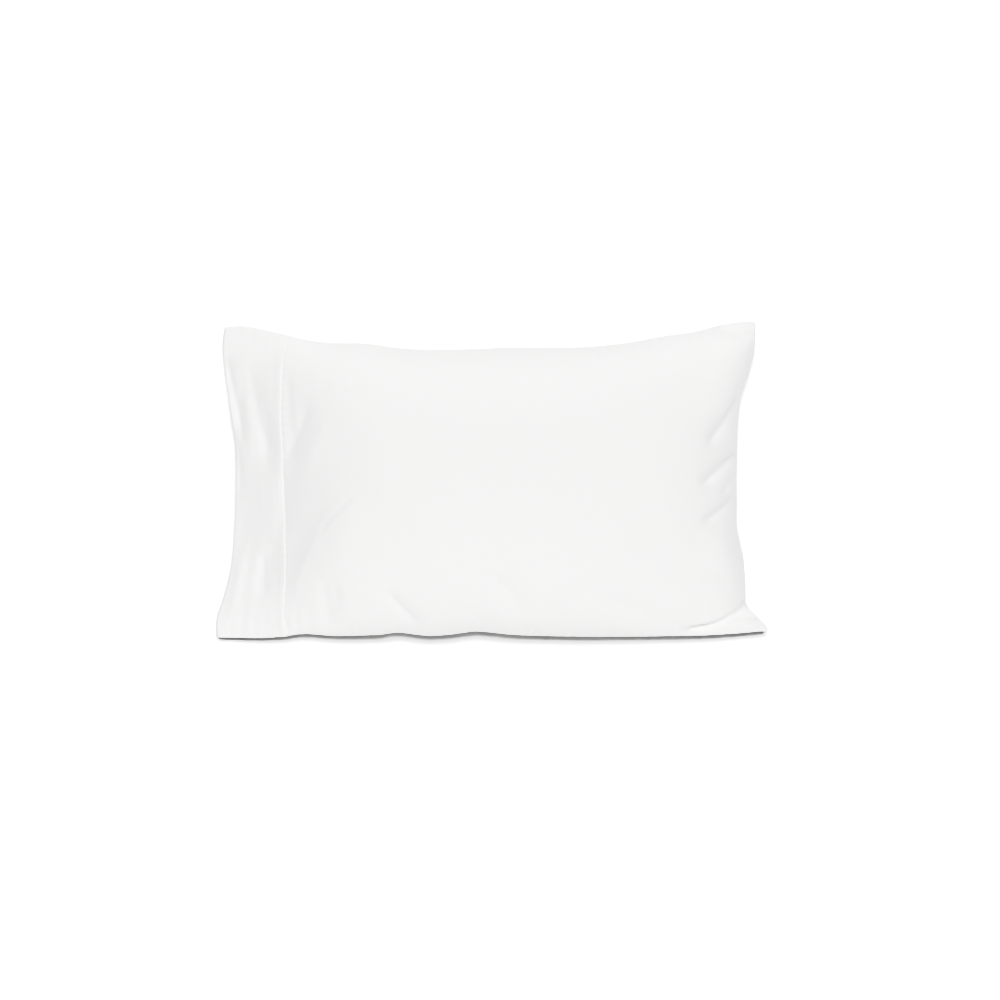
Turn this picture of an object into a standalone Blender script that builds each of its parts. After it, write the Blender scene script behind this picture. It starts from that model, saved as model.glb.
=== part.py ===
"""A cotton pillowcase with a pillow in it, lying on its back.

Metres, +Z up. X runs along the case, from the open hem at -X to the sewn end at +X. Y runs
across it and Z is its thickness. The origin is under the middle of the box, on the surface
that the case lies on. Tables are in millimetres, measured from the middle of the face.
"""

import math
from collections import namedtuple

import bmesh
import bpy

MM = 0.001

# Driving sizes
HEM_WALL = 3.0 * MM  # hem cloth with its turned-in layers
WALL_SHARE = 0.35  # of the local thickness, the most that one wall of the hem takes
SEAM_THICKNESS = 4.0 * MM  # the two panels and their turnings along a sewn edge
SLEEVE_INSET = 5.0 * MM  # sewn edge to the clear inside of the mouth
SLEEVE_DEPTH = 0.10  # share of the length from the hem's edge to the pillow's end
PILLOW_BULGE = 0.03  # share of the length that the pillow's round end leans into the hem
NOSE_SHARE = 0.04  # of its thickness, what is left of that end at its nose
LIP_BLEND = 0.10  # share of the length over which the shorter front lip is made up
CONTACT_BLEND = 5.0 * MM  # how softly the underside turns up from the surface
RELIEF_FADE = 12.0 * MM  # folds die away where the case is thinner than this

# How the two faces close. Start is the share of the length where a face turns to the sewn end.
# A higher power keeps it full for longer, and a lower softness closes it more bluntly.
Closing = namedtuple("Closing", "start end_power end_softness width_power")
FRONT = Closing(0.58, 2.4, 0.52, 2.3)
BACK = Closing(0.74, 2.5, 0.56, 2.7)
BACK_SOFTNESS = 0.64

# The seam of the sewn end stands higher at its middle than at its corners
END_SEAM_RISE = 20.0 * MM
END_SEAM_POWER = 8

# Mesh sizes
CELLS_ACROSS = 34
EDGE_CLUSTER = 0.62  # 0 spreads the cells evenly, 1 packs them to the long edges
PILLOW_END_STEPS = 3
SLEEVE_STEPS = 10

CLOTH_COLOUR = (0.86, 0.86, 0.855, 1.0)
CLOTH_ROUGHNESS = 0.9

# Where the four corners lie, seen from above
Corner = namedtuple("Corner", "x y")
HEM_BOTTOM = Corner(-423, -242)
HEM_TOP = Corner(-411, 235)
END_BOTTOM = Corner(425, -231)
END_TOP = Corner(404, 243)

# The hem's edge: how far along it lies at each height, and how far the front lip is set back
Lip = namedtuple("Lip", "y x setback")
LIPS = (
    Lip(HEM_BOTTOM.y, HEM_BOTTOM.x, 0),
    Lip(-228, -425, 0),
    Lip(-181, -412, 0),
    Lip(-130, -401, 0),
    Lip(-80, -397, 2),
    Lip(-20, -394.5, 4),
    Lip(45, -394, 9),
    Lip(100, -402, 11),
    Lip(165, -411, 10),
    Lip(210, -415, 5),
    Lip(HEM_TOP.y, HEM_TOP.x, 0),
)

# The sewn end
Bend = namedtuple("Bend", "place offset")
SEWN_END = (
    Bend(END_BOTTOM.y, END_BOTTOM.x),
    Bend(-216, 413.5),
    Bend(-204, 400.5),
    Bend(-190, 388),
    Bend(-158, 387.5),
    Bend(-118, 383.5),
    Bend(-74, 373.5),
    Bend(0, 373.5),
    Bend(75, 375),
    Bend(125, 379),
    Bend(174, 392),
    Bend(205, 401),
    Bend(END_TOP.y, END_TOP.x),
)

# The long edge along the folded side of the panel, drawn in by the pillow
FOLDED_SIDE = (
    Bend(HEM_TOP.x, HEM_TOP.y),
    Bend(-388, 237),
    Bend(-335, 227),
    Bend(-285, 215),
    Bend(-245, 210),
    Bend(-200, 209.5),
    Bend(-145, 202),
    Bend(-90, 199),
    Bend(-20, 201),
    Bend(50, 203),
    Bend(120, 203),
    Bend(198, 209),
    Bend(259, 220),
    Bend(308, 227),
    Bend(357, 239),
    Bend(385, 243),
    Bend(END_TOP.x, END_TOP.y),
)

# The long edge along the sewn side, with its three small lifts
SEWN_SIDE = (
    Bend(HEM_BOTTOM.x, HEM_BOTTOM.y),
    Bend(-360, -243),
    Bend(-318, -240),
    Bend(-291, -236),
    Bend(-240, -239),
    Bend(-172, -237),
    Bend(-145, -233),
    Bend(-100, -239),
    Bend(-50, -235),
    Bend(-22, -231),
    Bend(8, -235),
    Bend(50, -238),
    Bend(174, -240),
    Bend(308, -239),
    Bend(370, -236),
    Bend(END_BOTTOM.x, END_BOTTOM.y),
)

# Cross sections, from the hem's edge (along 0) to the sewn end (along 1). Crown is the height
# of the front at mid width and seam that of the long edges. Belly is where the underside would
# hang at mid width if nothing held it up. Softness is low for a full edge, high for a flat one.
Section = namedtuple("Section", "along crown seam belly softness")
SECTIONS = (
    Section(0.00, 41, 24, 15, 1.00),
    Section(0.04, 54, 29, 8, 0.96),
    Section(0.08, 74, 35, 0, 0.90),
    Section(0.12, 99, 41, -8, 0.84),
    Section(0.17, 126, 47, -15, 0.77),
    Section(0.24, 151, 54, -20, 0.71),
    Section(0.34, 169, 59, -22, 0.67),
    Section(0.46, 176, 60, -22, 0.66),
    Section(0.57, 176, 58, -21, 0.66),
    Section(0.72, 170, 53, -20, 0.67),
    Section(0.86, 162, 46, -18, 0.69),
    Section(1.00, 156, 37, -16, 0.72),
)

# Rows of cells along the case, closer together where it folds and where it curves
Span = namedtuple("Span", "start end cells")
SPANS = (
    Span(0.00, SLEEVE_DEPTH, SLEEVE_STEPS),
    Span(SLEEVE_DEPTH, 0.16, 6),
    Span(0.16, 0.30, 10),
    Span(0.30, 0.74, 16),
    Span(0.74, 0.92, 10),
    Span(0.92, 0.99, 7),
    Span(0.99, 1.00, 2),
)

# Main folds of the front: troughs (height below 0) and ridges between two places, deepest
# half way along. Bow is how far the middle of a fold swings to the left of its line.
Fold = namedtuple("Fold", "from_x from_y to_x to_y bow half_width height")
FOLDS = (
    Fold(-406, 212, -374, 34, -4, 9, -3.0),  # along the upper lip
    Fold(-370, 150, -350, 25, -4, 14, -5.0),  # across the hem
    Fold(-352, 40, -352, -70, 4, 16, -4.0),
    Fold(-378, 70, -374, -120, 0, 12, 3.0),
    Fold(-326, -85, -346, -186, 0, 15, -4.5),  # low on the hem
    Fold(-319, 214, -318, -226, 4, 8, -2.5),  # the stitched end of the hem
    Fold(-274, 112, -318, 4, 0, 12, -7.5),  # the deepest fold
    Fold(-255, 92, -296, -8, 0, 14, 3.0),
    Fold(-305, 148, -304, 44, 0, 8, -3.5),
    Fold(-300, 22, -298, -88, 0, 14, -5.0),
    Fold(-192, -4, -314, -204, -24, 13, -6.0),  # from the face down to the hem's foot
    Fold(-258, -142, -250, -238, 0, 14, -3.5),  # soft ones above the sewn side
    Fold(-166, -165, -108, -230, 0, 16, -4.0),
    Fold(-18, -138, 60, -212, 0, 18, -3.5),
    Fold(90, -150, 300, -232, 0, 18, -3.5),
    Fold(400, 222, 318, 46, 21, 15, -6.0),  # inside the sewn end
    Fold(380, 44, 300, -18, 0, 13, -5.0),
    Fold(376, -26, 316, -68, 0, 13, -4.0),
    Fold(392, -178, 352, -226, 0, 12, -7.0),  # round the flat ear at the lower corner
    Fold(360, -217, 282, -235, 0, 11, -5.0),
    Fold(322, 240, 402, 218, 0, 12, -4.0),  # under the upper corner
)

COLLECTION_NAME = "Pillowcase"
CASE_NAME = "pillowcase"


def clear_scene():
    for item in list(bpy.data.objects):
        bpy.data.objects.remove(item, do_unlink=True)


def slopes_through(places, values):
    """Slopes that carry a curve through its rows without overshoot."""
    steps = [
        (values[k + 1] - values[k]) / (places[k + 1] - places[k])
        for k in range(len(places) - 1)
    ]
    slopes = [steps[0]]
    for before, after in zip(steps, steps[1:]):
        same_way = before * after > 0
        slopes.append(2.0 * before * after / (before + after) if same_way else 0.0)
    slopes.append(steps[-1])
    return slopes


def curve_through(rows, column):
    """A smooth function of a table's first column that gives one of its other columns."""
    places = [row[0] for row in rows]
    values = [getattr(row, column) for row in rows]
    slopes = slopes_through(places, values)

    def value_at(place):
        place = min(max(place, places[0]), places[-1])
        k = 0
        while k < len(places) - 2 and place > places[k + 1]:
            k += 1
        span = places[k + 1] - places[k]
        u = (place - places[k]) / span
        rise = u * u * (3.0 - 2.0 * u)
        start_pull = u * (1.0 - u) ** 2 * slopes[k] * span
        end_pull = u * u * (1.0 - u) * slopes[k + 1] * span
        return values[k] + (values[k + 1] - values[k]) * rise + start_pull - end_pull

    return value_at


HEM_LINE = curve_through(LIPS, "x")
LIP_SETBACK = curve_through(LIPS, "setback")
END_LINE = curve_through(SEWN_END, "offset")
FOLDED_LINE = curve_through(FOLDED_SIDE, "offset")
SEWN_LINE = curve_through(SEWN_SIDE, "offset")
CROWN = curve_through(SECTIONS, "crown")
SEAM = curve_through(SECTIONS, "seam")
BELLY = curve_through(SECTIONS, "belly")
SOFTNESS = curve_through(SECTIONS, "softness")


def mix(start, end, share):
    return start + (end - start) * share


def plan_place(along, across):
    """Where a point of the panel lies, seen from above: its four edges, blended (mm)."""
    hem_y = mix(HEM_BOTTOM.y, HEM_TOP.y, across)
    end_y = mix(END_BOTTOM.y, END_TOP.y, across)
    sewn_x = mix(HEM_BOTTOM.x, END_BOTTOM.x, along)
    folded_x = mix(HEM_TOP.x, END_TOP.x, along)
    x = mix(sewn_x, folded_x, across)
    x += mix(HEM_LINE(hem_y), END_LINE(end_y), along)
    x -= mix(mix(HEM_BOTTOM.x, HEM_TOP.x, across), mix(END_BOTTOM.x, END_TOP.x, across), along)
    y = mix(SEWN_LINE(sewn_x), FOLDED_LINE(folded_x), across)
    y += mix(hem_y, end_y, along)
    y -= mix(mix(HEM_BOTTOM.y, END_BOTTOM.y, along), mix(HEM_TOP.y, END_TOP.y, along), across)
    return x, y


def fullness(distance, power, softness):
    """1 in the middle of the pillow and 0 at its edge, with a full, round shoulder."""
    return max(0.0, 1.0 - min(1.0, abs(distance)) ** power) ** softness


def face_fullness(along, across, face, softness):
    """How far one face stands from the seams, as a share of its rise at mid width."""
    past_start = max(0.0, along - face.start) / (1.0 - face.start)
    end_share = fullness(past_start, face.end_power, face.end_softness)
    return end_share * fullness(2.0 * across - 1.0, face.width_power, softness)


def settle(height):
    """Lay the underside on the surface: exactly flat where it would hang below it."""
    if height <= -CONTACT_BLEND:
        return 0.0
    if height >= CONTACT_BLEND:
        return height
    return (height + CONTACT_BLEND) ** 2 / (4.0 * CONTACT_BLEND)


def fold_relief(x, y):
    """Height that the folds add at one place of the front (all in mm)."""
    relief = 0.0
    for fold in FOLDS:
        run_x = fold.to_x - fold.from_x
        run_y = fold.to_y - fold.from_y
        reach = math.hypot(run_x, run_y)
        gone_x = x - fold.from_x
        gone_y = y - fold.from_y
        share = (gone_x * run_x + gone_y * run_y) / reach**2
        if not 0.0 < share < 1.0:
            continue
        aside = (run_x * gone_y - run_y * gone_x) / reach
        aside -= fold.bow * 4.0 * share * (1.0 - share)
        depth_share = 1.0 - (2.0 * share - 1.0) ** 4
        relief += fold.height * depth_share * math.exp(-((aside / fold.half_width) ** 2))
    return relief


def outer_pair(along, across):
    """The front and back points of the case at one place of the panels."""
    x, y = plan_place(along, across)
    front_x = x + LIP_SETBACK(y) * max(0.0, 1.0 - along / LIP_BLEND)
    seam = SEAM(along) * MM
    seam += END_SEAM_RISE * along**END_SEAM_POWER * (1.0 - (2.0 * across - 1.0) ** 2)
    front_share = face_fullness(along, across, FRONT, SOFTNESS(along))
    back_share = face_fullness(along, across, BACK, BACK_SOFTNESS)
    front = mix(seam, CROWN(along) * MM, front_share) + SEAM_THICKNESS / 2
    back = settle(mix(seam, BELLY(along) * MM, back_share) - SEAM_THICKNESS / 2)
    relief_share = min(1.0, (front - back - SEAM_THICKNESS) / RELIEF_FADE)
    front += fold_relief(front_x, y) * MM * relief_share
    return [front_x * MM, y * MM, front], [x * MM, y * MM, back]


def inner_pair(along, across):
    """The same place on the inside of the hem's sleeve."""
    front, back = outer_pair(along, across)
    sewn_y = outer_pair(along, 0.0)[0][1]
    folded_y = outer_pair(along, 1.0)[0][1]
    middle_y = (sewn_y + folded_y) / 2
    half_width = (folded_y - sewn_y) / 2
    wall = min(HEM_WALL, WALL_SHARE * (front[2] - back[2]))
    for point, inward in ((front, -wall), (back, wall)):
        point[1] = middle_y + (point[1] - middle_y) * (1.0 - SLEEVE_INSET / half_width)
        point[2] += inward
    return front, back


def pillow_end_pair(across, turn):
    """The pillow's round end inside the sleeve; turn runs from its top edge (1) to its nose (0)."""
    angle = turn * math.pi / 2
    lean = PILLOW_BULGE * math.cos(angle) * (1.0 - (2.0 * across - 1.0) ** 2)
    front, back = inner_pair(SLEEVE_DEPTH - lean, across)
    middle = (front[2] + back[2]) / 2
    half = (front[2] - back[2]) / 2 * max(math.sin(angle), NOSE_SHARE)
    front[2] = middle + half
    back[2] = middle - half
    return front, back


def ring(pairs):
    """One closed section: over the front, then back along the underside."""
    fronts = [front for front, back in pairs]
    backs = [back for front, back in pairs]
    return fronts + backs[::-1]


def across_places():
    places = []
    for k in range(CELLS_ACROSS + 1):
        even = k / CELLS_ACROSS
        packed = 0.5 - 0.5 * math.cos(math.pi * even)
        places.append(mix(even, packed, EDGE_CLUSTER))
    return places


def along_places():
    places = [SPANS[0].start]
    for span in SPANS:
        for k in range(span.cells):
            places.append(mix(span.start, span.end, (k + 1) / span.cells))
    return places


def case_rings():
    """Sections from the sewn end to the hem's edge, and from there back inside to the pillow."""
    across = across_places()
    rings = [ring([outer_pair(s, t) for t in across]) for s in reversed(along_places())]
    for depth in along_places()[: SLEEVE_STEPS + 1]:
        rings.append(ring([inner_pair(depth, t) for t in across]))
    for k in range(PILLOW_END_STEPS):
        turn = 1.0 - (k + 1) / PILLOW_END_STEPS
        rings.append(ring([pillow_end_pair(t, turn) for t in across]))
    return rings


def close_seam(mesh, loop):
    """Sew the front row of a ring to its back row."""
    last = len(loop) - 1
    for k in range(len(loop) // 2 - 1):
        mesh.faces.new((loop[k], loop[k + 1], loop[last - k - 1], loop[last - k]))


def loft(rings):
    """Skin a row of closed sections and sew both ends."""
    mesh = bmesh.new()
    loops = [[mesh.verts.new(point) for point in points] for points in rings]
    for near, far in zip(loops, loops[1:]):
        for k in range(len(near)):
            following = (k + 1) % len(near)
            mesh.faces.new((near[k], near[following], far[following], far[k]))
    close_seam(mesh, loops[0])
    close_seam(mesh, loops[-1])
    bmesh.ops.recalc_face_normals(mesh, faces=mesh.faces)
    return mesh


def cloth_material():
    material = bpy.data.materials.new("white_cotton")
    material.use_nodes = True
    shader = material.node_tree.nodes["Principled BSDF"]
    shader.inputs["Base Color"].default_value = CLOTH_COLOUR
    shader.inputs["Roughness"].default_value = CLOTH_ROUGHNESS
    shader.inputs["Metallic"].default_value = 0.0
    return material


def make_pillowcase(collection):
    mesh = loft(case_rings())
    data = bpy.data.meshes.new(CASE_NAME)
    mesh.to_mesh(data)
    mesh.free()
    data.shade_smooth()
    data.materials.append(cloth_material())
    case = bpy.data.objects.new(CASE_NAME, data)
    collection.objects.link(case)
    return case


def main():
    clear_scene()
    collection = bpy.data.collections.new(COLLECTION_NAME)
    bpy.context.scene.collection.children.link(collection)
    make_pillowcase(collection)


main()
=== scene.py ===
import math

import bpy
import numpy as np
from mathutils import Matrix, Vector, noise
from mathutils.bvhtree import BVHTree
from mathutils.interpolate import poly_3d_calc


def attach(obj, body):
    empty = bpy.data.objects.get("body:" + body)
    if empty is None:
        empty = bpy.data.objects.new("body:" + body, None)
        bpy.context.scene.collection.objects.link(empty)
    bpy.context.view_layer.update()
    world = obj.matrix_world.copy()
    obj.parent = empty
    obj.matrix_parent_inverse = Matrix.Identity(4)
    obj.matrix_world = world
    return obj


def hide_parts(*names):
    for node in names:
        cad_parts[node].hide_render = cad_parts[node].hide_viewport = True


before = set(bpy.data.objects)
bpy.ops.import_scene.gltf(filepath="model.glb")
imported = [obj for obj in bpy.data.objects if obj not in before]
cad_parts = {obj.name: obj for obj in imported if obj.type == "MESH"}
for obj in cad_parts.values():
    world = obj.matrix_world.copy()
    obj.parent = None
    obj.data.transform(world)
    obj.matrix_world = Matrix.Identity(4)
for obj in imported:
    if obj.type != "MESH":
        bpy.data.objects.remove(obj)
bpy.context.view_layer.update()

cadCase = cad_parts["pillowcase"]

# The case is two cotton panels over a pillow. x runs from the open hem to the sewn end, y across
# the panels and z up. Along and across are shares of a panel's length and width.
case = {
    "length": 0.864,        # one panel laid flat
    "width": 0.508,
    "cellsAlong": 133,      # square cells of 6.5 mm
    "cellsAcross": 78,
    "seamEdge": 0.002,      # both panels where they are sewn together
    "hemCloth": 0.0016,     # the hem with its turned-in layer
    "wallShare": 0.35,      # of the hem's height, at most, where it is thin
    "mouthInset": 0.005,    # from a sewn side to the clear inside of the mouth
    "sleeveRows": 13,       # rows of cells from the hem's edge to the pillow's end
    "noseRows": 4,          # rows over that round end
    "noseLean": 3.8,        # rows that its middle leans out towards the mouth
    "mouthLength": 0.08,    # of the hem, where its front and back can meet
    "lipGap": 0.0008,       # what stays between the two lips at least
    "rimCrease": 0.75,      # keeps the hem's turned edge tight
    "lipShown": 0.0008,     # how much of the back lip shows past the front one
    "lipFade": 0.03,        # and on which way from a corner of the mouth it comes out
    "lipShare": 0.10,       # of the length, over which the front lip is drawn out to that
    "lipSetback": (         # y, and how far the solid's front lip lies behind its back one there
        (-0.120, 0.000),
        (-0.080, 0.002),
        (-0.020, 0.004),
        (0.045, 0.009),
        (0.100, 0.011),
        (0.165, 0.010),
        (0.210, 0.005),
        (0.235, 0.000),
    ),
}

# How rays read the solid's edges and its two faces
reading = {
    "edgeRays": 160,        # from one corner to the next
    "cornerRays": 2,        # of those, left out at each corner
    "edgeStep": 0.002,      # from a ray to the one above it
    "edgeTop": 0.12,        # the edges lie lower than this
    "lines": 260,           # over a face, each way
    "onCloth": 0.0006,      # from the mouth's edge onto the cloth
    "tries": (1.0, 0.998, 0.99),  # further in, where a ray just misses the solid
}

# How the cloth settles over its filling
settling = {
    "frames": 24,
    "quality": 5,
    "pressure": 4.0,
    "stiffness": 15.0,
    "shear": 5.0,
    "bending": 0.5,
    "clothMass": 0.3,
    "restsBelow": 0.0005,   # cloth this low lies on the floor and stays there
    "farthestMove": 0.024,
    "evenOutPasses": 16,    # smooths the flats of the solid before the cloth moves
    "formPasses": 420,      # what is smoother than this stays as the solid has it
    "wrinkleShare": 1.0,
}


def deselectAll():
    if bpy.context.mode != "OBJECT":
        bpy.ops.object.mode_set(mode="OBJECT")
    bpy.ops.object.select_all(action="DESELECT")


def activate(piece):
    deselectAll()
    piece.select_set(True)
    bpy.context.view_layer.objects.active = piece


def coordinates(mesh, name="co"):
    values = np.zeros(len(mesh.vertices) * 3, np.float32)
    mesh.vertices.foreach_get(name, values)
    return values.reshape(-1, 3).astype(float)


def setCoordinates(mesh, points):
    mesh.vertices.foreach_set("co", points.astype(np.float32).ravel())
    mesh.update()


def mix(start, end, share):
    return start + (end - start) * share


def treeOf(piece):
    mesh = piece.data
    return BVHTree.FromPolygons(
        [v.co.copy() for v in mesh.vertices], [tuple(p.vertices) for p in mesh.polygons]
    )


def cornerOf(points, wayX, wayY):
    return points[np.argmax(points[:, 0] * wayX + points[:, 1] * wayY)]


def edgeLine(tree, axis, start, finish, way):
    # the outermost places of one side, from a corner to the next
    other = 1 - axis
    rows = [start]
    places = np.linspace(start[other], finish[other], reading["edgeRays"])
    for place in places[reading["cornerRays"] : -reading["cornerRays"]]:
        aim = Vector((0, 0, 0))
        aim[axis] = -way
        hits = []
        for height in np.arange(reading["edgeStep"] / 4, reading["edgeTop"], reading["edgeStep"]):
            origin = Vector((0, 0, height))
            origin[other] = place
            origin[axis] = way
            hit = tree.ray_cast(origin, aim)[0]
            if hit:
                hits.append(hit)
        rows.append(max(hits, key=lambda hit: hit[axis] * way))
    rows.append(finish)
    return np.array(rows)


def heightAt(tree, x, y, side, spare):
    # of the solid's front (side 1) or its back (side -1)
    for share in reading["tries"]:
        hit = tree.ray_cast(Vector((x * share, y * share, side)), Vector((0, 0, -side)))[0]
        if hit:
            return hit.z
    return spare


def facesOfSolid():
    # the solid's back and front as two grids of points, one for each panel
    tree = treeOf(cadCase)
    points = coordinates(cadCase.data)
    hemSewn = cornerOf(points, -1, -1)
    hemFolded = cornerOf(points, -1, 1)
    endSewn = cornerOf(points, 1, -1)
    endFolded = cornerOf(points, 1, 1)
    hemLine = edgeLine(tree, 0, hemSewn, hemFolded, -1)
    endLine = edgeLine(tree, 0, endSewn, endFolded, 1)
    sewnLine = edgeLine(tree, 1, hemSewn, endSewn, -1)
    foldedLine = edgeLine(tree, 1, hemFolded, endFolded, 1)

    even = np.linspace(0, 1, reading["lines"])
    packed = 0.5 - 0.5 * np.cos(np.pi * even)                  # closer together towards both ends
    along, across = np.meshgrid(mix(even, packed, 0.5), packed)
    hemY = mix(hemSewn[1], hemFolded[1], across)
    endY = mix(endSewn[1], endFolded[1], across)
    sewnX = mix(hemSewn[0], endSewn[0], along)
    foldedX = mix(hemFolded[0], endFolded[0], along)
    hemX = np.interp(hemY, hemLine[:, 1], hemLine[:, 0])
    endX = np.interp(endY, endLine[:, 1], endLine[:, 0])
    x = mix(sewnX, foldedX, across) + mix(hemX, endX, along)
    x -= mix(mix(hemSewn[0], hemFolded[0], across), mix(endSewn[0], endFolded[0], across), along)
    sewnY = np.interp(sewnX, sewnLine[:, 0], sewnLine[:, 1])
    foldedY = np.interp(foldedX, foldedLine[:, 0], foldedLine[:, 1])
    y = mix(sewnY, foldedY, across) + mix(hemY, endY, along)
    y -= mix(mix(hemSewn[1], endSewn[1], along), mix(hemFolded[1], endFolded[1], along), across)
    sewnZ = np.interp(sewnX, sewnLine[:, 0], sewnLine[:, 2])
    foldedZ = np.interp(foldedX, foldedLine[:, 0], foldedLine[:, 2])
    seam = mix(sewnZ, foldedZ, across)
    seam[:, -1] = np.interp(endY[:, -1], endLine[:, 1], endLine[:, 2])

    setbackPlaces, setbacks = zip(*case["lipSetback"])
    drawnOut = np.maximum(0, 1 - along / case["lipShare"])
    setback = np.interp(y, setbackPlaces, setbacks) * drawnOut
    fromCorner = np.minimum(hemY - hemSewn[1], hemFolded[1] - hemY)
    shown = case["lipShown"] * np.clip(fromCorner / case["lipFade"], 0, 1) * drawnOut
    faces = []
    for side in (-1, 1):
        solidX = x + setback if side > 0 else x.copy()
        solidX[:, 0] += reading["onCloth"]
        z = seam + side * case["seamEdge"] / 2
        for j in range(1, len(packed) - 1):
            for i in range(len(even) - 1):
                z[j, i] = heightAt(tree, solidX[j, i], y[j, i], side, z[j, i])
        clothX = x + shown if side > 0 else x
        face = evenOut(np.stack((clothX, y, z), axis=2), case["cellsAlong"])
        faces.append(evenOut(face.transpose(1, 0, 2), case["cellsAcross"]).transpose(1, 0, 2))
    return np.array(faces)


def evenOut(lines, cells):
    # each line again, with its points evenly spaced along it
    shares = np.linspace(0, 1, cells + 1)
    spread = []
    for line in lines:
        steps = np.linalg.norm(np.diff(line, axis=0), axis=1)
        reached = np.concatenate(([0], np.cumsum(steps)))
        spread.append([np.interp(shares * reached[-1], reached, line[:, k]) for k in range(3)])
    return np.array(spread).transpose(0, 2, 1)


def smooth(faces, passes):
    # every point but those of the edges moves half way to the middle of its four neighbours
    faces = faces.copy()
    for _ in range(passes):
        around = faces[:, 2:, 1:-1] + faces[:, :-2, 1:-1] + faces[:, 1:-1, 2:] + faces[:, 1:-1, :-2]
        faces[:, 1:-1, 1:-1] = faces[:, 1:-1, 1:-1] / 2 + around / 8
    return faces


# Heights of the flat mesh, which say where each point belongs
layers = {
    "back": 0.0,
    "sleeveBack": 0.25,     # the hem's inside, which ends in the pillow's round end
    "sleeveFront": 0.75,
    "front": 1.0,
    "near": 0.01,           # how near to one of these a point has to be
}


def insideHem(spots):
    # between the sleeve's two layers, the pillow's end too, and half way round the hem's rim
    return np.abs(spots[:, 2] - 0.5) < 0.4


def selectFaces(piece, test):
    bpy.ops.object.mode_set(mode="EDIT")
    bpy.ops.mesh.select_mode(type="FACE")
    bpy.ops.mesh.select_all(action="DESELECT")
    bpy.ops.object.mode_set(mode="OBJECT")
    for face in piece.data.polygons:
        face.select = test(face.center)
    bpy.ops.object.mode_set(mode="EDIT")


def makePanels():
    # one flat box of cloth: its mouth is opened and turned in, down to the pillow's round end
    deselectAll()
    bpy.ops.mesh.primitive_grid_add(
        x_subdivisions=case["cellsAlong"],
        y_subdivisions=case["cellsAcross"],
        size=1,
        location=(0.5, 0.5, 0),
    )
    piece = bpy.context.object
    piece.name = "filled_case"
    bpy.ops.object.transform_apply(location=True)
    bpy.ops.object.mode_set(mode="EDIT")
    bpy.ops.mesh.select_all(action="SELECT")
    bpy.ops.mesh.extrude_region_move(TRANSFORM_OT_translate={"value": (0, 0, 1)})

    selectFaces(piece, lambda middle: middle.x < 0.001)  # the mouth
    bpy.ops.mesh.delete(type="ONLY_FACE")
    bpy.ops.mesh.select_mode(type="EDGE")
    bpy.ops.mesh.select_non_manifold(
        extend=False,
        use_wire=False,
        use_boundary=True,
        use_multi_face=False,
        use_non_contiguous=False,
        use_verts=False,
    )
    middle = (0, 0.5, 0.5)
    bpy.ops.mesh.extrude_region_move(TRANSFORM_OT_translate={"value": (0, 0, 0)})
    sleeveHeight = layers["sleeveFront"] - layers["sleeveBack"]
    bpy.ops.transform.resize(value=(1, 1, sleeveHeight), center_override=middle)
    for _ in range(case["sleeveRows"]):
        step = 1 / case["cellsAlong"]
        bpy.ops.mesh.extrude_region_move(TRANSFORM_OT_translate={"value": (step, 0, 0)})
    for row in range(case["noseRows"]):
        turn = math.pi / 2 / case["noseRows"]
        shrink = math.cos(turn * (row + 1)) / math.cos(turn * row)
        bpy.ops.mesh.extrude_region_move(TRANSFORM_OT_translate={"value": (0, 0, 0)})
        bpy.ops.transform.resize(value=(1, 1, shrink), center_override=middle)
    bpy.ops.mesh.remove_doubles(threshold=0.0001)
    bpy.ops.mesh.select_all(action="SELECT")
    bpy.ops.mesh.normals_make_consistent(inside=False)
    bpy.ops.mesh.select_all(action="DESELECT")
    bpy.ops.object.mode_set(mode="OBJECT")
    points = coordinates(piece.data)
    for edge in piece.data.edges:                              # round the mouth, outside and inside
        start, end = points[edge.vertices[0]], points[edge.vertices[1]]
        edge.select = max(start[0], end[0]) < 0.001 and abs(start[2] - end[2]) < 0.01
    bpy.ops.object.mode_set(mode="EDIT")
    bpy.ops.transform.edge_crease(value=case["rimCrease"])
    bpy.ops.object.mode_set(mode="OBJECT")
    return piece


def sleeveFaces(faces):
    # the inside of the hem, a cloth's thickness in from both faces
    inner = faces.copy()
    middle = (faces[:, :1, :, 1] + faces[:, -1:, :, 1]) / 2
    halfWidth = (faces[:, -1:, :, 1] - faces[:, :1, :, 1]) / 2
    inner[..., 1] = middle + (faces[..., 1] - middle) * (1 - case["mouthInset"] / halfWidth)
    gap = faces[1, ..., 2] - faces[0, ..., 2]
    wall = np.minimum(case["hemCloth"], case["wallShare"] * gap)
    inner[0, ..., 2] += wall
    inner[1, ..., 2] -= wall
    return inner


def placePanels(spots, faces):
    # every point of the flat mesh, on the two faces, in the hem or on the pillow's end
    column = spots[:, 0] * case["cellsAlong"]
    row = np.rint(spots[:, 1] * case["cellsAcross"]).astype(int)
    front = (spots[:, 2] > 0.5).astype(int)
    roundness = np.clip(np.abs(spots[:, 2] - 0.5) / (layers["sleeveFront"] - 0.5), 0, 1)
    across = row / case["cellsAcross"]
    lean = case["noseLean"] * np.sqrt(1 - roundness**2) * (1 - (2 * across - 1) ** 2)
    column = np.where(insideHem(spots), column - lean, column)
    low = np.clip(np.floor(column + 1e-4).astype(int), 0, case["cellsAlong"] - 1)
    part = np.clip(column - low, 0, 1)[:, None]
    inner = sleeveFaces(faces)

    def at(grid, side):
        return mix(grid[side, row, low], grid[side, row, low + 1], part)

    outside = at(faces, front)
    sleeve = at(inner, front)
    middle = (at(inner, 0 * front) + at(inner, 0 * front + 1)) / 2
    sleeve = mix(middle, sleeve, roundness[:, None])
    return np.where(insideHem(spots)[:, None], sleeve, outside)


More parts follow.
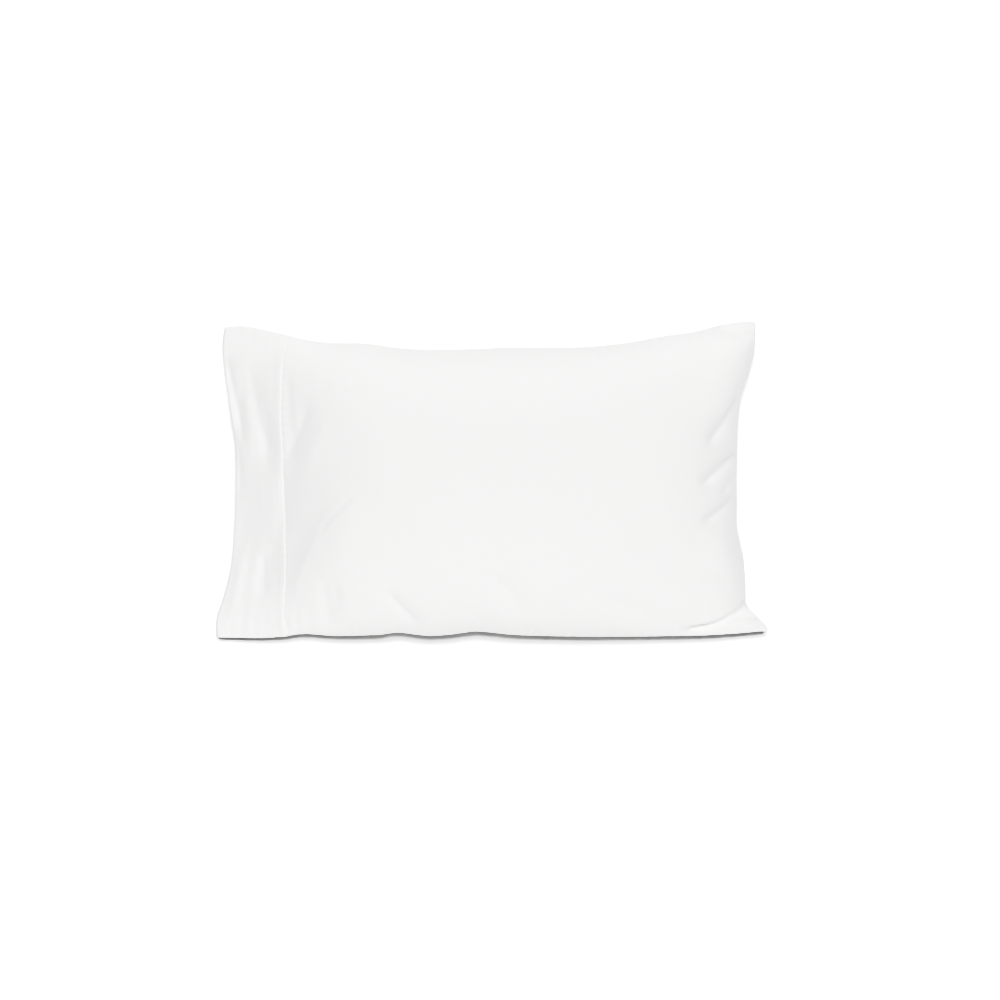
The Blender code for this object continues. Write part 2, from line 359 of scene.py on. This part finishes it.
def paintPanels(mesh, spots):
    # weave and folds follow the flat cloth: front above the fold line, back below it
    side = np.where(spots[:, 2] > 0.5, 1.0, -1.0)
    loops = np.zeros(len(mesh.loops), np.int32)
    mesh.loops.foreach_get("vertex_index", loops)
    faceOfLoop = np.repeat(np.arange(len(mesh.polygons)), [p.loop_total for p in mesh.polygons])
    frontOfFace = np.full(len(mesh.polygons), -1.0)
    np.maximum.at(frontOfFace, faceOfLoop, side[loops])
    u = spots[loops, 0] * case["length"]
    v = spots[loops, 1] * case["width"] * frontOfFace[faceOfLoop]
    mesh.uv_layers[0].data.foreach_set("uv", np.stack((u, v), axis=1).astype(np.float32).ravel())
    mesh.uv_layers[0].name = "flatCloth"
    flatSpot = mesh.attributes.new("flatSpot", "FLOAT_VECTOR", "POINT")
    flatSpot.data.foreach_set("vector", spots.astype(np.float32).ravel())


def settle(piece, spots, faces):
    # the cloth starts on the solid and pulls back to its flat size: only its wrinkles are kept
    start = placePanels(spots, faces)
    setCoordinates(piece.data, start)
    flat = spots * (case["length"], case["width"], case["seamEdge"])
    piece.shape_key_add(name="Filled")
    pattern = piece.shape_key_add(name="Flat")
    pattern.data.foreach_set("co", flat.astype(np.float32).ravel())
    atEdge = np.minimum(spots[:, :2], 1 - spots[:, :2]).min(axis=1) < 0.001
    held = atEdge | insideHem(spots) | (start[:, 2] < settling["restsBelow"])
    group = piece.vertex_groups.new(name="held")
    group.add([int(k) for k in np.nonzero(held)[0]], 1.0, "REPLACE")
    cloth = piece.modifiers.new("cotton", "CLOTH")
    cloth.settings.quality = settling["quality"]
    cloth.settings.mass = settling["clothMass"]
    cloth.settings.tension_stiffness = settling["stiffness"]
    cloth.settings.compression_stiffness = settling["stiffness"]
    cloth.settings.shear_stiffness = settling["shear"]
    cloth.settings.bending_stiffness = settling["bending"]
    cloth.settings.use_pressure = True
    cloth.settings.uniform_pressure_force = settling["pressure"]
    cloth.settings.vertex_group_mass = group.name
    cloth.settings.effector_weights.gravity = 0
    cloth.settings.rest_shape_key = pattern
    cloth.collision_settings.use_collision = False
    cloth.point_cache.frame_start = 1
    cloth.point_cache.frame_end = settling["frames"]
    for step in range(1, settling["frames"] + 1):
        bpy.context.scene.frame_set(step)
    activate(piece)
    bpy.ops.object.convert(target="MESH")
    moved = coordinates(piece.data) - start
    far = np.linalg.norm(moved, axis=1, keepdims=True)
    print("settled: mean", round(far.mean() * 1000, 1), "mm, most", round(far.max() * 1000, 1), "mm")
    moved *= np.minimum(1, settling["farthestMove"] / np.maximum(far, 1e-9))

    outer = ~insideHem(spots)
    row = np.rint(spots[outer, 1] * case["cellsAcross"]).astype(int)
    column = np.rint(spots[outer, 0] * case["cellsAlong"]).astype(int)
    side = (spots[outer, 2] > 0.5).astype(int)
    moves = np.zeros_like(faces)
    moves[side, row, column] = moved[outer]
    wrinkles = moves - smooth(moves, settling["formPasses"])
    print("wrinkles: mean", round(np.linalg.norm(wrinkles, axis=3).mean() * 1000, 2), "mm")
    settled = faces + wrinkles * settling["wrinkleShare"]
    settled[..., 2] = np.maximum(settled[..., 2], 0)
    return settled


def makeCase():
    faces = smooth(facesOfSolid(), settling["evenOutPasses"])
    print("solid read")
    piece = makePanels()
    spots = coordinates(piece.data)
    paintPanels(piece.data, spots)
    print("panels", len(spots), "points")
    settled = settle(piece, spots, faces)
    setCoordinates(piece.data, placePanels(spots, settled))
    activate(piece)
    finer = piece.modifiers.new("finer", "SUBSURF")
    finer.levels = 1
    finer.render_levels = 1
    bpy.ops.object.modifier_apply(modifier=finer.name)
    splitHemColumns(piece)
    addRelief(piece)
    partLips(piece)
    piece.data.shade_smooth()
    print("case done:", len(piece.data.polygons), "faces")
    return piece


# Each fold runs through a few places on the face (x, y in mm). Height is below 0 for a trough and
# above it for a ridge. Left and right say how wide its two sides are, seen along the run, and a
# sharpness of 1 gives a creased line where 2 gives a soft one.
longRidge = (               # from the face down to the sewn side
    (-196, -10),
    (-226, -36),
    (-250, -62),
    (-270, -95),
    (-285, -128),
    (-296, -156),
    (-303, -200),
)
earCrease = (               # parts the flat ear from the pillow
    (408, -170),
    (388, -191),
    (377, -201),
    (362, -213),
    (349, -221),
    (335, -226),
    (320, -229),
    (278, -233),
)
folds = (
    # places, height, left, right, sharpness: first those on the hem
    (((-412, 208), (-404, 160), (-396, 124), (-388, 88), (-379, 40)), -4.4, 10, 5, 1.6),
    (((-374, 184), (-368, 134), (-359, 98), (-347, 60), (-340, 6)), -4.8, 14, 14, 1.8),
    (((-381, 44), (-382, -40), (-385, -95), (-389, -150)), -4.4, 34, 11, 1.9),
    (((-350, -104), (-351, -140), (-349, -186)), -2.8, 9, 12, 1.7),
    (((-336, -84), (-339, -120), (-336, -160)), -1.8, 8, 9, 1.7),
    # beside the hem
    (((-277, 130), (-288, 92), (-302, 56), (-324, 12)), -3.2, 8, 10, 1.7),
    (((-243, 118), (-266, 62), (-291, 4)), 2.0, 12, 14, 2.0),
    (((-313, 168), (-310, 108), (-305, 50)), -1.6, 6, 9, 1.8),
    (((-320, 30), (-320, -30), (-322, -96)), -3.5, 16, 9, 1.8),
    (longRidge, 5.8, 80, 16, 1.3),
    (((-202, -18), (-228, -41), (-252, -66), (-266, -92)), -2.2, 4, 5, 1.5),
    # above the sewn side
    (((-257, -140), (-252, -190), (-247, -236)), -2.4, 10, 10, 1.8),
    (((-238, -150), (-236, -206)), -2.0, 8, 8, 1.8),
    (((-168, -162), (-138, -198), (-108, -226)), -5.0, 9, 9, 1.6),
    (((-20, -132), (20, -172), (58, -208)), -3.8, 16, 16, 1.9),
    (((84, -146), (180, -186), (300, -230)), -4.0, 16, 16, 1.9),
    # by the sewn end
    (((396, 226), (379, 172), (360, 132), (345, 84)), 7.5, 13, 34, 1.8),
    (((352, -62), (350, -100), (356, -146)), 5.0, 24, 30, 1.6),
    (((384, 138), (363, 100), (346, 75), (320, 46)), -7.5, 10, 9, 1.6),
    (((384, 51), (352, 20), (312, -12)), -7.0, 8, 10, 1.6),
    (((378, 16), (361, -7), (350, -28)), -3.0, 5, 6, 1.6),
    (((380, -21), (350, -45), (316, -68)), -6.0, 7, 8, 1.5),
    (earCrease, -9.0, 8, 5, 1.3),
    (((342, -225), (322, -230), (292, -232)), -1.6, 4, 4, 1.4),
    (((312, 238), (360, 230), (406, 221)), -3.8, 8, 7, 1.6),
)
folding = {
    "step": 6.0,            # mm from one point of a run to the next
    "fewestSteps": 4,
    "softenings": 3,        # of the corners between its places
    "reach": 3,             # times its width, past which it isn't felt
    "endShare": 0.3,        # of the run, over which it comes in and dies out
}


def smoothRun(places):
    # a soft curve through the places
    places = np.array(places, float)
    reached = np.concatenate(([0], np.cumsum(np.linalg.norm(np.diff(places, axis=0), axis=1))))
    count = max(folding["fewestSteps"], int(reached[-1] / folding["step"]))
    shares = np.linspace(0, reached[-1], count + 1)
    run = np.stack([np.interp(shares, reached, places[:, k]) for k in range(2)], axis=1)
    for _ in range(folding["softenings"]):
        run[1:-1] = run[1:-1] / 2 + (run[2:] + run[:-2]) / 4
    return run


def foldRelief(x, y):
    # height in mm that the folds add at each place
    relief = np.zeros(len(x))
    for places, height, left, right, sharpness in folds:
        run = smoothRun(places)
        reached = np.concatenate(([0], np.cumsum(np.linalg.norm(np.diff(run, axis=0), axis=1))))
        reach = folding["reach"] * max(left, right)
        near = (x > run[:, 0].min() - reach) & (x < run[:, 0].max() + reach)
        near &= (y > run[:, 1].min() - reach) & (y < run[:, 1].max() + reach)
        nearX = x[near]
        nearY = y[near]
        away = np.full(len(nearX), 1e9)
        aside = np.zeros(len(nearX))
        gone = np.zeros(len(nearX))
        for k in range(len(run) - 1):
            stepX, stepY = run[k + 1] - run[k]
            step = math.hypot(stepX, stepY)
            fromX = nearX - run[k, 0]
            fromY = nearY - run[k, 1]
            share = np.clip((fromX * stepX + fromY * stepY) / step**2, 0, 1)
            distance = np.hypot(fromX - share * stepX, fromY - share * stepY)
            closer = distance < away
            away[closer] = distance[closer]
            aside[closer] = np.sign(stepX * fromY - stepY * fromX)[closer]
            gone[closer] = (reached[k] + share * step)[closer] / reached[-1]
        width = np.where(aside > 0, left, right)
        toEnd = np.clip(np.minimum(gone, 1 - gone) / folding["endShare"], 0, 1)
        deep = toEnd * toEnd * (3 - 2 * toEnd)
        relief[near] += height * deep * np.exp(-((away / width) ** sharpness))
    return relief


# The hem and the seams on the flat cloth, in mm
sewing = {
    "hemDepth": 90.0,       # from the hem's edge to its stitches, where the mouth sags most
    "hemMiddle": 280.0,     # that place on the way from the sewn side to the folded one
    "hemSewnMore": 25.0,    # how much deeper the hem shows at those two sides
    "hemFoldedMore": 17.0,
    "hemSewnPower": 1.6,    # how late on the way there that comes
    "hemFoldedPower": 1.3,
    "splitBefore": 9.0,     # the narrow cells reach this far either way from the stitches
    "splitAfter": 5.0,
    "splitCuts": 2,
    "turnedUnder": 12.0,    # the raw edge inside the hem
    "hemHeight": 0.35,      # what the hem's second layer adds
    "turnedHeight": 0.7,    # and what the third one adds to that
    "layerSoftness": 2.5,
    "grooveDepth": 0.8,     # how far the stitches pull the cloth in
    "grooveWidth": 1.8,
    "hemPucker": 0.45,
    "hemPuckerPitch": 13.0,
    "hemPuckerReach": 8.0,
    "hemPuckerSeed": 1.5,
    "seamPucker": 0.8,
    "seamPuckerPitch": 19.0,
    "seamPuckerReach": 15.0,
    "seamPuckerSeed": 4.2,
    "foldedShare": 0.45,    # of a seam's puckers, along the folded side
    "crumple": 0.35,
    "hemCrumple": 0.5,
    "hemCrumpleFade": 40.0,
    "crumplePitch": 55.0,
    "crumpleSeed": 2.5,
    "farApart": 4,          # times its reach, past which a pucker isn't felt
    "restFade": 8.0,        # height over which the flat back passes into the sides
    "sleeveLift": 1.08,     # what the front's move along its slope comes to, straight up
}

# How a seam's waves wander
waving = {
    "swing": 5.0,           # radians that a wave comes early or late
    "swingWaves": 3.1,      # waves from one change to the next
    "share": 0.55,          # of the full height, and how much it changes
    "shareSwing": 0.9,
    "shareWaves": 2.3,
}

# Ridges and fine dents over the broad ones
crumpling = {
    "ridgeShare": 0.7,
    "ridgeFiner": 1.9,
    "ridgeShift": (3.1, 0.7, 0.0),
    "fineShare": 0.25,
    "fineFiner": 4.3,
}


def flatPlaces(mesh):
    # along the cloth, across it and through its layers
    spots = np.zeros(len(mesh.vertices) * 3, np.float32)
    mesh.attributes["flatSpot"].data.foreach_get("vector", spots)
    return spots.reshape(-1, 3).astype(float)


def hemDepth(across):
    # in mm, at a place on the way from the sewn side to the folded one
    away = across - sewing["hemMiddle"]
    sewnWay = np.maximum(-away, 0) / sewing["hemMiddle"]
    foldedWay = np.maximum(away, 0) / (case["width"] * 1000 - sewing["hemMiddle"])
    depth = sewing["hemDepth"] + sewing["hemSewnMore"] * sewnWay ** sewing["hemSewnPower"]
    return depth + sewing["hemFoldedMore"] * foldedWay ** sewing["hemFoldedPower"]


def splitHemColumns(piece):
    # narrow cells where the hem ends, for the groove of its stitches
    spots = flatPlaces(piece.data) * (case["length"] * 1000, case["width"] * 1000, 1)
    activate(piece)
    bpy.ops.object.mode_set(mode="EDIT")
    bpy.ops.mesh.select_mode(type="EDGE")
    bpy.ops.mesh.select_all(action="DESELECT")
    bpy.ops.object.mode_set(mode="OBJECT")
    for edge in piece.data.edges:
        start, end = spots[edge.vertices[0]], spots[edge.vertices[1]]
        past = (start[0] + end[0]) / 2 - hemDepth((start[1] + end[1]) / 2)
        runsAlong = abs(start[0] - end[0]) > 0.5
        edge.select = runsAlong and -sewing["splitBefore"] < past < sewing["splitAfter"]
    bpy.ops.object.mode_set(mode="EDIT")
    bpy.ops.mesh.subdivide(number_cuts=sewing["splitCuts"])
    bpy.ops.object.mode_set(mode="OBJECT")


def wave(place, pitch, seed):
    # uneven waves along a seam: the pitch and the height wander
    values = np.empty(len(place))
    for k, spot in enumerate(place):
        swing = noise.noise(Vector((spot / pitch / waving["swingWaves"], seed, 0.3)))
        change = noise.noise(Vector((spot / pitch / waving["shareWaves"], seed, 7.7)))
        share = waving["share"] + waving["shareSwing"] * change
        values[k] = share * math.sin(spot / pitch * 2 * math.pi + waving["swing"] * swing)
    return values


def crumple(spots, seed):
    # the soft unevenness of cotton that was folded and used
    values = np.empty(len(spots))
    shift = Vector(crumpling["ridgeShift"])
    pitch = sewing["crumplePitch"]
    for k, (along, across, layer) in enumerate(spots):
        spot = Vector((along / pitch, across / pitch, seed + layer))
        broad = noise.noise(spot)
        ridge = 0.5 - abs(noise.noise(spot * crumpling["ridgeFiner"] + shift))
        fine = noise.noise(spot * crumpling["fineFiner"])
        values[k] = broad + crumpling["ridgeShare"] * ridge + crumpling["fineShare"] * fine
    return values


def sewnRelief(spots):
    # what the hem's layers, its stitches and the seams do to the cloth, in mm
    along = spots[:, 0] * case["length"] * 1000
    across = spots[:, 1] * case["width"] * 1000
    front = np.rint(spots[:, 2])
    depth = hemDepth(across)
    soft = sewing["layerSoftness"]
    relief = sewing["hemHeight"] / (1 + np.exp((along - depth) / soft * 2))
    turned = (along - depth + sewing["turnedUnder"] / 2) / (sewing["turnedUnder"] / 2)
    relief += sewing["turnedHeight"] * np.exp(-(turned**4))
    relief -= sewing["grooveDepth"] * np.exp(-(((along - depth) / sewing["grooveWidth"]) ** 2))

    # each wave's start is moved on by some mm, so that front and back, and two sides, aren't alike
    near = np.abs(along - depth) < sewing["farApart"] * sewing["hemPuckerReach"]
    fade = np.exp(-np.abs(along - depth)[near] / sewing["hemPuckerReach"])
    waves = wave(across[near] + 40 * front[near], sewing["hemPuckerPitch"], sewing["hemPuckerSeed"])
    relief[near] += sewing["hemPucker"] * fade * waves
    edges = (
        (across, along, 1.0),                                  # the sewn side
        (case["length"] * 1000 - along, across, 1.0),          # the sewn end
        (case["width"] * 1000 - across, along + 700, sewing["foldedShare"]),
    )
    reach = sewing["seamPuckerReach"]
    for inward, run, share in edges:
        near = inward < sewing["farApart"] * reach
        # about half as high at the seam itself as one reach in from it
        fade = (inward[near] / reach + 0.25) * np.exp(1 - inward[near] / reach) / 1.25
        height = sewing["seamPucker"] * share * fade
        waves = wave(run[near] + 90 * front[near], sewing["seamPuckerPitch"], sewing["seamPuckerSeed"])
        relief[near] += height * waves
    pastHem = np.clip((along - depth) / sewing["hemCrumpleFade"], 0, 1)
    amount = mix(sewing["hemCrumple"], sewing["crumple"], pastHem)
    relief += amount * crumple(np.stack((along, across, front), axis=1), sewing["crumpleSeed"])
    return relief


def addRelief(piece):
    # folds on the front alone, and the sewing on both faces; the hem's inside moves straight up or
    # down with its front, and the back stays flat where it lies
    mesh = piece.data
    points = coordinates(mesh)
    normals = coordinates(mesh, "normal")
    spots = flatPlaces(mesh)
    steepness = 10                                             # all or none, but for the middle layers
    onFront = np.clip((spots[:, 2] - 0.5) * steepness, 0, 1)
    onBack = np.clip((0.5 - spots[:, 2]) * steepness, 0, 1)
    upward = normals * np.where(normals[:, 2:] < 0, -1, 1)
    upward[insideHem(spots)] = (0, 0, sewing["sleeveLift"])
    sewn = sewnRelief(spots) / 1000
    folded = foldRelief(points[:, 0] * 1000, points[:, 1] * 1000) / 1000
    lifted = np.clip(points[:, 2] * 1000 / sewing["restFade"], 0, 1)
    points += upward * ((sewn + folded) * onFront - sewn * onBack * lifted)[:, None]
    points[:, 2] = np.maximum(points[:, 2], 0)
    setCoordinates(mesh, points)
    print("relief: folds up to", round(np.abs(folded).max() * 1000, 1), "mm")


def partLips(piece):
    # the back of the hem stays under the front wherever a fold brings them together
    mesh = piece.data
    points = coordinates(mesh)
    layer = flatPlaces(mesh)[:, 2]
    ceiling = []
    for face in mesh.polygons:
        corners = tuple(face.vertices)
        if np.abs(layer[list(corners)] - layers["sleeveFront"]).max() < layers["near"]:
            ceiling.append(corners)
    tree = BVHTree.FromPolygons([Vector(point) for point in points], ceiling)
    below = layer < layers["sleeveBack"] + layers["near"]
    inHem = points[:, 0] < points[:, 0].min() + case["mouthLength"]
    for k in np.nonzero(below & inHem)[0]:
        outward = (layers["sleeveBack"] - layer[k]) / layers["sleeveBack"]
        room = case["lipGap"] + outward * case["hemCloth"] / 2
        hit = tree.ray_cast(Vector((points[k, 0], points[k, 1], -1)), Vector((0, 0, 1)))[0]
        if hit:
            points[k, 2] = max(0, min(points[k, 2], hit.z - room))
    setCoordinates(mesh, points)


cotton = {
    "colour": (0.78, 0.78, 0.775, 1),
    "roughness": 0.85,
    "sheen": 0.15,
    "threadPitch": 0.0005,
    "threadHeight": 0.00004,
    "slubHeight": 0.00008,
    "slubChanges": (60, 1400),  # a metre, along a thread and across it
    "slubDetail": 2,
    "crumpleHeight": 0.0006,
    "crumpleScale": 38.0,
    "crumpleDetail": 4,
    "crumpleTwist": 0.6,
}


def cottonMaterial():
    material = bpy.data.materials.new("whiteCotton")
    material.use_nodes = True
    nodes = material.node_tree.nodes
    links = material.node_tree.links
    shader = nodes["Principled BSDF"]
    shader.inputs["Base Color"].default_value = cotton["colour"]
    shader.inputs["Roughness"].default_value = cotton["roughness"]
    shader.inputs["Sheen Weight"].default_value = cotton["sheen"]
    cloth = nodes.new("ShaderNodeUVMap")
    cloth.uv_map = "flatCloth"

    threads = []
    for way in ("X", "Y"):
        thread = nodes.new("ShaderNodeTexWave")
        thread.bands_direction = way
        thread.inputs["Scale"].default_value = math.pi / 10 / cotton["threadPitch"]  # a band a thread
        links.new(cloth.outputs["UV"], thread.inputs["Vector"])
        threads.append(thread)
    weave = nodes.new("ShaderNodeMath")
    weave.operation = "MULTIPLY"
    links.new(threads[0].outputs["Fac"], weave.inputs[0])
    links.new(threads[1].outputs["Fac"], weave.inputs[1])

    bumps = [(weave.outputs["Value"], cotton["threadHeight"])]
    slow, fast = cotton["slubChanges"]
    for stretch in ((slow, fast, 1), (fast, slow, 1)):         # thicker threads both ways
        longer = nodes.new("ShaderNodeMapping")
        longer.inputs["Scale"].default_value = stretch
        slub = nodes.new("ShaderNodeTexNoise")
        slub.inputs["Scale"].default_value = 1
        slub.inputs["Detail"].default_value = cotton["slubDetail"]
        links.new(cloth.outputs["UV"], longer.inputs["Vector"])
        links.new(longer.outputs["Vector"], slub.inputs["Vector"])
        bumps.append((slub.outputs["Fac"], cotton["slubHeight"]))
    creases = nodes.new("ShaderNodeTexNoise")
    creases.inputs["Scale"].default_value = cotton["crumpleScale"]
    creases.inputs["Detail"].default_value = cotton["crumpleDetail"]
    creases.inputs["Distortion"].default_value = cotton["crumpleTwist"]
    links.new(cloth.outputs["UV"], creases.inputs["Vector"])
    bumps.append((creases.outputs["Fac"], cotton["crumpleHeight"]))

    below = None
    for height, distance in bumps:
        bump = nodes.new("ShaderNodeBump")
        bump.inputs["Distance"].default_value = distance
        links.new(height, bump.inputs["Height"])
        if below:
            links.new(below.outputs["Normal"], bump.inputs["Normal"])
        below = bump
    links.new(below.outputs["Normal"], shader.inputs["Normal"])
    return material


# One stitch of the hem, in metres
stitch = {
    "length": 0.0030,
    "pitch": 0.0038,
    "thread": 0.00045,
    "sides": 6,
    "sunk": 0.4,            # share of its thickness that lies in the cloth
    "firstPlace": 0.006,    # from the sewn side
    "straight": 0.6,        # share of its length before both ends dip into the cloth
    "dipLength": 0.2,       # of its length
    "dipDepth": 0.45,       # of its thickness
    "dipThickness": 0.55,
    "roughness": 0.6,
}


def clothPlaces(piece, frontFace):
    # gives the point and the normal of one face of the case at a place of the flat cloth
    mesh = piece.data
    spots = flatPlaces(mesh) * (case["length"], case["width"], 1)
    wanted = layers["front"] if frontFace else layers["back"]
    outer = []
    for face in mesh.polygons:
        corners = face.vertices[:]
        if np.abs(spots[corners, 2] - wanted).max() < layers["near"]:
            outer.append(corners)
    flat = [Vector((x, y, 0)) for x, y, layer in spots]
    tree = BVHTree.FromPolygons(flat, outer)

    def placeAt(along, across):
        nearest = tree.find_nearest(Vector((along, across, 0)))
        corners = outer[nearest[2]]
        shares = poly_3d_calc([flat[k] for k in corners], nearest[0])
        point = Vector()
        upright = Vector()
        for k, share in zip(corners, shares):
            point += mesh.vertices[k].co * share
            upright += mesh.vertices[k].normal * share
        return point, upright.normalized()

    return placeAt


def makeStitch():
    deselectAll()
    straight = stitch["length"] * stitch["straight"]
    bpy.ops.mesh.primitive_cylinder_add(
        vertices=stitch["sides"],
        radius=stitch["thread"] / 2,
        depth=straight,
        rotation=(math.pi / 2, 0, 0),
    )
    piece = bpy.context.object
    bpy.ops.object.transform_apply(rotation=True)
    for way in (1, -1):
        selectFaces(piece, lambda middle: middle.y * way > 0.9 * straight / 2)
        dipY = way * stitch["length"] * stitch["dipLength"]
        dipZ = -stitch["thread"] * stitch["dipDepth"]
        bpy.ops.mesh.extrude_region_move(TRANSFORM_OT_translate={"value": (0, dipY, dipZ)})
        bpy.ops.transform.resize(value=(stitch["dipThickness"], 1, stitch["dipThickness"]))
        bpy.ops.object.mode_set(mode="OBJECT")
    piece.data.shade_smooth()
    return piece


def sewHem(filledCase):
    # stitches along the hem on the front, and on the back where it is off the floor
    first = makeStitch()
    count = int((case["width"] - 2 * stitch["firstPlace"]) / stitch["pitch"]) + 1
    placed = []
    for frontFace in (True, False):
        placeAt = clothPlaces(filledCase, frontFace)
        for k in range(count):
            across = stitch["firstPlace"] + k * stitch["pitch"]
            along = hemDepth(across * 1000) / 1000
            point, upright = placeAt(along, across)
            if point.z < 2 * stitch["thread"]:                 # the case would lie on it
                continue
            ahead = placeAt(along, across + stitch["pitch"] / 2)[0]
            forward = (ahead - point).normalized()
            sideways = forward.cross(upright).normalized()
            upright = sideways.cross(forward)
            turn = Matrix((sideways, forward, upright)).transposed().to_4x4()
            raised = point + upright * stitch["thread"] * (0.5 - stitch["sunk"])
            activate(first)
            bpy.ops.object.duplicate()
            copy = bpy.context.object
            copy.matrix_world = Matrix.Translation(raised) @ turn
            placed.append(copy)
    deselectAll()
    for copy in placed:
        copy.select_set(True)
    bpy.context.view_layer.objects.active = placed[0]
    bpy.ops.object.transform_apply(location=True, rotation=True, scale=True)
    bpy.ops.object.join()
    stitches = bpy.context.object
    stitches.name = "hem_stitches"
    bpy.data.objects.remove(first)
    print("stitches:", len(placed))
    return stitches


def threadMaterial():
    material = bpy.data.materials.new("whiteThread")
    material.use_nodes = True
    shader = material.node_tree.nodes["Principled BSDF"]
    shader.inputs["Base Color"].default_value = cotton["colour"]
    shader.inputs["Roughness"].default_value = stitch["roughness"]
    return material


studio = {
    "floorSize": 12.0,
    "floorDrop": 0.0004,    # below the flat back, so that the two don't flicker
    "floorColour": (0.96, 0.96, 0.96, 1),
    "floorRoughness": 0.9,
    "floorShine": 0.2,
    "white": (1, 1, 1, 1),
    "skyLight": 0.11,
    "skyShown": 1.1,        # the far wall, where a lower view looks past the floor
    "lamps": {              # strength, width in degrees, height above the floor, and turn from +y
        "key": (2.90, 18.0, 77.5, 0.0),
        "fill": (1.45, 30.0, 12.0, 180.0),
        "backFill": (0.55, 30.0, 12.0, 0.0),
        "sideFill": (0.10, 30.0, 40.0, 90.0),
    },
    "cameraPlace": (0.0115, -0.0306, 8.56),
    "lens": 200,
    "sensor": 36,
    "tones": (              # scene light, and how bright the picture shows it
        (0.00, 0.00),
        (0.15, 0.07),
        (0.32, 0.13),
        (0.50, 0.30),
        (0.59, 0.60),
        (0.68, 0.78),
        (0.80, 0.838),
        (0.91, 0.915),
        (1.04, 1.00),
    ),
}


def makeStudio():
    deselectAll()
    bpy.ops.mesh.primitive_plane_add(size=studio["floorSize"], location=(0, 0, -studio["floorDrop"]))
    floor = bpy.context.object
    floor.name = "floor"
    bpy.ops.object.transform_apply(location=True)
    pale = bpy.data.materials.new("paleFloor")
    pale.use_nodes = True
    shader = pale.node_tree.nodes["Principled BSDF"]
    shader.inputs["Base Color"].default_value = studio["floorColour"]
    shader.inputs["Roughness"].default_value = studio["floorRoughness"]
    shader.inputs["Specular IOR Level"].default_value = studio["floorShine"]
    floor.data.materials.append(pale)

    sky = bpy.data.worlds.new("softRoom")
    sky.use_nodes = True
    nodes = sky.node_tree.nodes
    links = sky.node_tree.links
    light = nodes["Background"]
    light.inputs["Color"].default_value = studio["white"]
    light.inputs["Strength"].default_value = studio["skyLight"]
    wall = nodes.new("ShaderNodeBackground")
    wall.inputs["Color"].default_value = studio["white"]
    wall.inputs["Strength"].default_value = studio["skyShown"]
    ray = nodes.new("ShaderNodeLightPath")
    either = nodes.new("ShaderNodeMixShader")
    links.new(ray.outputs["Is Camera Ray"], either.inputs["Fac"])
    links.new(light.outputs["Background"], either.inputs[1])
    links.new(wall.outputs["Background"], either.inputs[2])
    links.new(either.outputs["Shader"], nodes["World Output"].inputs["Surface"])
    bpy.context.scene.world = sky

    for name, (strength, width, height, turn) in studio["lamps"].items():
        aside = Matrix.Rotation(math.radians(-turn), 4, "Z")
        tilt = Matrix.Rotation(math.radians(height - 90), 4, "X")
        bpy.ops.object.light_add(type="SUN", location=(0, 0, 3))
        lamp = bpy.context.object
        lamp.name = name
        lamp.data.energy = strength
        lamp.data.angle = math.radians(width)
        lamp.rotation_euler = (aside @ tilt).to_euler()

    bpy.ops.object.camera_add(location=studio["cameraPlace"], rotation=(0, 0, 0))
    camera = bpy.context.object
    camera.data.lens = studio["lens"]
    camera.data.sensor_width = studio["sensor"]
    bpy.context.scene.camera = camera
    picture = bpy.context.scene.view_settings
    picture.view_transform = "Standard"
    picture.use_curve_mapping = True
    tones = picture.curve_mapping.curves[3]                    # for the three colours alike
    for darker, shown in studio["tones"][1:-1]:
        tones.points.new(darker, shown)
    tones.points[-1].location = studio["tones"][-1]
    picture.curve_mapping.update()
    print("studio: lamps", len(studio["lamps"]), "and tones", len(studio["tones"]))


filledCase = makeCase()
filledCase.data.materials.append(cottonMaterial())
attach(filledCase, "root")
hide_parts("pillowcase")
hemStitches = sewHem(filledCase)
hemStitches.data.materials.append(threadMaterial())
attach(hemStitches, "root")
makeStudio()
